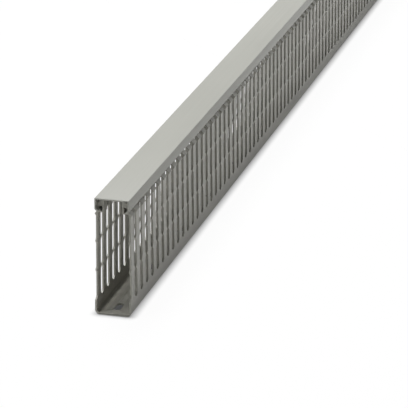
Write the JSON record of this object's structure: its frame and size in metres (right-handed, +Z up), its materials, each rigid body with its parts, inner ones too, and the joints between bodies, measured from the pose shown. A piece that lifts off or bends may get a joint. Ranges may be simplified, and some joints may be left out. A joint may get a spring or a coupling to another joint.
{
  "type": "slotted wire duct",
  "caption": "Tall narrow channel with slotted finger walls and a flat clip-on cover, for leading wires along and out of a panel.",
  "frame": {"origin": "under the middle of the floor", "axes": "+X along the duct, +Y across it, +Z up to the cover"},
  "size_m": [1, 0.025, 0.08],
  "materials": {
    "base_pvc": "satin",
    "cover_pvc": "satin"
  },
  "bodies": {
    "base": {"duct_base": "base_pvc"},
    "cover": {"cover": "cover_pvc"}
  },
  "joints": [
    {"name": "cover_slide", "type": "slide", "parent": "base", "child": "cover", "axis": [1, 0, 0], "range_m": [0, 1]}
  ]
}
